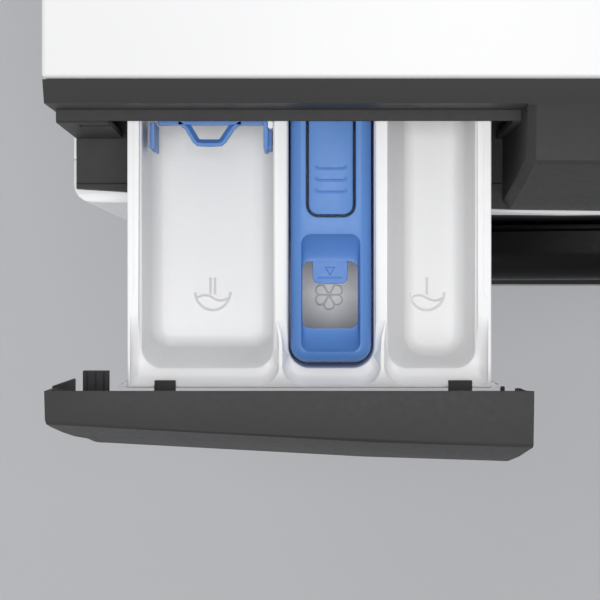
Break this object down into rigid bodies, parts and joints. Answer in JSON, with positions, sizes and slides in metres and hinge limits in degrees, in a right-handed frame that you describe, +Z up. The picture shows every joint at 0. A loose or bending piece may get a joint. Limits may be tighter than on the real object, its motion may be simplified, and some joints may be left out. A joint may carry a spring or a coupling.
{
  "type": "front load washing machine",
  "caption": "Free-standing front-loading washing machine with a sliding detergent drawer, hinged porthole door, belt-driven drum and sprung tub inside a sheet-steel cabinet.",
  "frame": {"origin": "on the floor, under the middle of the machine's box with the drawer standing out 115 mm", "axes": "+Z up, -Y is the front that the user faces, +X is to the user's right"},
  "size_m": [0.6, 0.6646, 0.85],
  "materials": {
    "white_laminate": "white laminate on chipboard",
    "white_enamel": "satin enamel",
    "white_plastic": "fine satin",
    "dark_plastic": "fine grained satin",
    "black_plastic": "polished",
    "blue_plastic": "satin",
    "grey_plastic": "moulded",
    "smoked_glass": "polished, tinted",
    "grey_rubber": "matt",
    "black_rubber": "matt",
    "zinc_steel": "galvanised",
    "stainless": "bright, perforated",
    "aluminium": "as cast",
    "concrete": "cast concrete",
    "green_board": "lacquered board"
  },
  "bodies": {
    "cabinet": {"base_pan": "grey_plastic", "control_board": "green_board", "control_panel": "dark_plastic", "damper_cylinder_left": "black_plastic", "damper_cylinder_right": "black_plastic", "dispenser_hose": "black_rubber", "dispenser_housing": "grey_plastic", "display_window": "smoked_glass", "door_gasket": "grey_rubber", "door_hinge": "zinc_steel", "door_lock": "black_plastic", "drain_pump": "grey_plastic", "foot_1": "black_rubber", "foot_2": "black_rubber", "foot_3": "black_rubber", "foot_4": "black_rubber", "front_panel": "white_enamel", "inlet_valve": "white_plastic", "plinth": "white_enamel", "rear_cover": "zinc_steel", "rear_panel": "zinc_steel", "side_panel_left": "white_enamel", "side_panel_right": "white_enamel", "spring_left": "zinc_steel", "spring_right": "zinc_steel", "sump_hose": "black_rubber", "worktop": "white_laminate"},
    "tub": {"tub_front": "grey_plastic", "tub_rear": "grey_plastic", "counterweight_top": "concrete", "counterweight_front": "concrete", "motor": "zinc_steel", "bearing_front": "zinc_steel", "bearing_rear": "zinc_steel", "heater": "stainless", "damper_rod_left": "zinc_steel", "damper_rod_right": "zinc_steel", "drive_belt": "black_rubber"},
    "drum": {"drum_basket": "stainless", "drum_spider": "aluminium", "drum_pulley": "aluminium", "drum_lifter_1": "grey_plastic", "drum_lifter_2": "grey_plastic", "drum_lifter_3": "grey_plastic"},
    "motor_rotor": {"motor_pulley": "zinc_steel"},
    "door": {"door_outer_ring": "black_plastic", "door_inner_frame": "white_plastic", "door_glass": "smoked_glass"},
    "door_pull": {"door_handle": "black_plastic"},
    "drawer": {"drawer_tray": "white_plastic", "drawer_front": "dark_plastic", "softener_insert": "blue_plastic"},
    "release_tab": {"release_tab": "blue_plastic"},
    "liquid_flap": {"liquid_flap": "blue_plastic"},
    "programme_knob": {"programme_knob": "white_plastic"},
    "start_button": {"start_button": "white_plastic"},
    "option_button_1": {"option_button_1": "grey_plastic"},
    "option_button_2": {"option_button_2": "grey_plastic"},
    "pump_flap": {"pump_flap": "white_plastic"},
    "filter_cap": {"filter_cap": "grey_plastic"}
  },
  "joints": [
    {"name": "tub_suspension", "type": "slide", "parent": "cabinet", "child": "tub", "axis": [0, 0, 1], "range_m": [-0.008, 0.008], "stiffness_N_per_m": 20000, "springref_m": 0.01918, "deforming": ["spring_left", "spring_right", "door_gasket", "dispenser_hose", "sump_hose"]},
    {"name": "drawer_slide", "type": "slide", "parent": "cabinet", "child": "drawer", "axis": [0, -1, 0], "range_m": [-0.115, 0.065]},
    {"name": "release_tab_press", "type": "hinge", "parent": "drawer", "child": "release_tab", "pos_m": [-0.1836, -0.169, 0.8145], "axis": [1, 0, 0], "range_deg": [0, 5], "stiffness_Nm_per_rad": 0.6, "springref_deg": -2.86},
    {"name": "liquid_flap_lift", "type": "hinge", "parent": "drawer", "child": "liquid_flap", "pos_m": [-0.2338, -0.1875, 0.811], "axis": [1, 0, 0], "range_deg": [0, 80]},
    {"name": "door_hinge", "type": "hinge", "parent": "cabinet", "child": "door", "pos_m": [-0.236, -0.233, 0.45], "axis": [0, 0, -1], "range_deg": [0, 150]},
    {"name": "door_pull_hinge", "type": "hinge", "parent": "door", "child": "door_pull", "pos_m": [0.186, -0.246, 0.45], "axis": [0, 0, -1], "range_deg": [0, 15], "stiffness_Nm_per_rad": 0.5, "springref_deg": -5.73},
    {"name": "drum_spin", "type": "hinge", "parent": "tub", "child": "drum", "pos_m": [0, 0, 0.45], "axis": [0, 1, 0], "continuous": true},
    {"name": "motor_spin", "type": "hinge", "parent": "tub", "child": "motor_rotor", "pos_m": [0, 0.227, 0.125], "axis": [0, 1, 0], "continuous": true},
    {"name": "programme_knob_turn", "type": "hinge", "parent": "cabinet", "child": "programme_knob", "pos_m": [0, -0.2166, 0.796], "axis": [0, -1, 0], "continuous": true},
    {"name": "start_button_press", "type": "slide", "parent": "cabinet", "child": "start_button", "axis": [0, 1, 0], "range_m": [0, 0.0015], "stiffness_N_per_m": 400, "springref_m": -0.0015},
    {"name": "option_button_1_press", "type": "slide", "parent": "cabinet", "child": "option_button_1", "axis": [0, 1, 0], "range_m": [0, 0.0015], "stiffness_N_per_m": 400, "springref_m": -0.0015},
    {"name": "option_button_2_press", "type": "slide", "parent": "cabinet", "child": "option_button_2", "axis": [0, 1, 0], "range_m": [0, 0.0015], "stiffness_N_per_m": 400, "springref_m": -0.0015},
    {"name": "pump_flap_hinge", "type": "hinge", "parent": "cabinet", "child": "pump_flap", "pos_m": [0.21, -0.2155, 0.0345], "axis": [1, 0, 0], "range_deg": [0, 95]},
    {"name": "filter_cap_turn", "type": "hinge", "parent": "cabinet", "child": "filter_cap", "pos_m": [0.21, -0.195, 0.0705], "axis": [0, -1, 0], "range_deg": [-90, 0]}
  ],
  "couplings": [
    {"joint": "motor_spin", "follows": "drum_spin", "ratio": 14}
  ]
}
